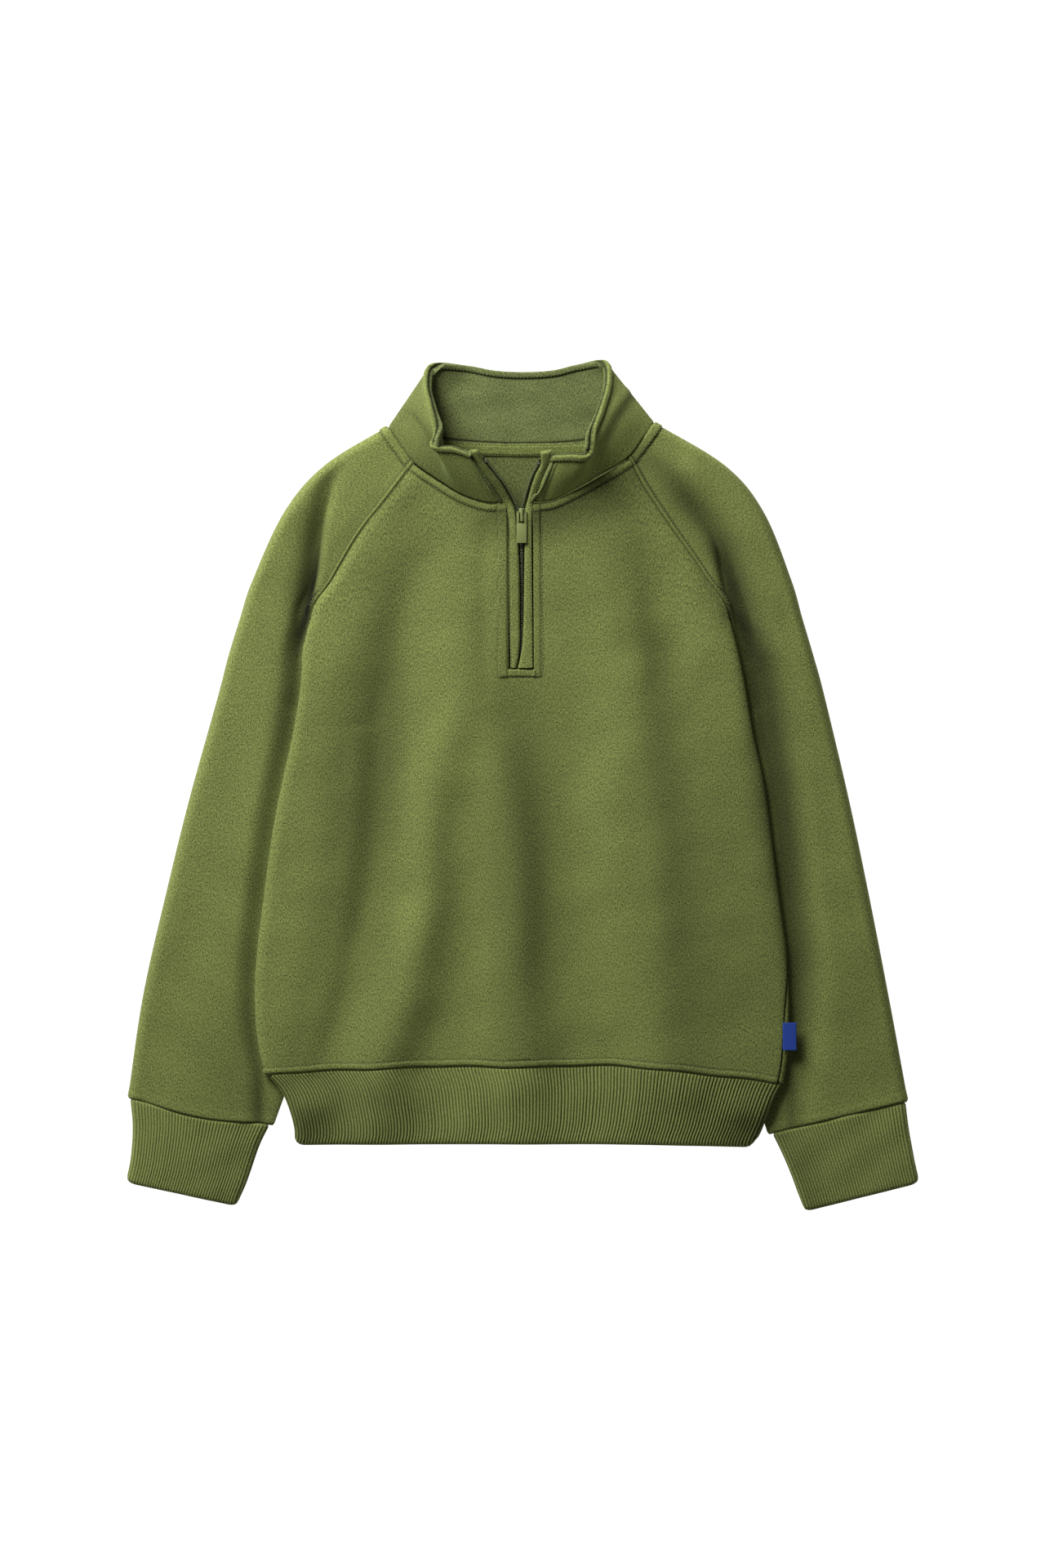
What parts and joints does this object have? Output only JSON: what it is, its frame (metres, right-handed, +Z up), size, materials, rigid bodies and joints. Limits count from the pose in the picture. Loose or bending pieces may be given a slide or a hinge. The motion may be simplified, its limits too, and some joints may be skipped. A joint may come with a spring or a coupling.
{
  "type": "child's sweatshirt",
  "caption": "Child's raglan sweatshirt in brushed jersey, laid flat, with a stand collar, a short covered zip and ribbed cuffs and hem.",
  "frame": {"origin": "on the surface the garment lies on, under the middle of its bounding box", "axes": "+Z up, out of the front; +Y from hem to collar; +X towards the wearer's left"},
  "size_m": [0.5632, 0.6044, 0.0405],
  "materials": {
    "jersey": "brushed cotton jersey",
    "rib": "rib knit",
    "tape": "woven zip tape",
    "pull": "satin, dyed to match",
    "metal": "satin",
    "label": "woven satin"
  },
  "bodies": {
    "garment": {"front": "jersey", "back": "jersey", "sleeve_left": "jersey", "sleeve_right": "jersey", "cuff_left": "rib", "cuff_right": "rib", "hem_rib": "rib", "collar_outer": "jersey", "collar_inner": "jersey", "neck_tape": "jersey", "welt_left": "jersey", "welt_right": "jersey", "zip_tape_left": "tape", "zip_tape_right": "tape", "zip_slider": "pull", "zip_stop_left": "metal", "zip_stop_right": "metal", "side_label": "label"},
    "pull_tab": {"zip_pull": "pull"}
  },
  "joints": [
    {"name": "pull_tab_swing", "type": "hinge", "parent": "garment", "child": "pull_tab", "pos_m": [0, 0.1944, 0.01566], "axis": [-1, 0, 0], "range_deg": [0, 150]}
  ]
}
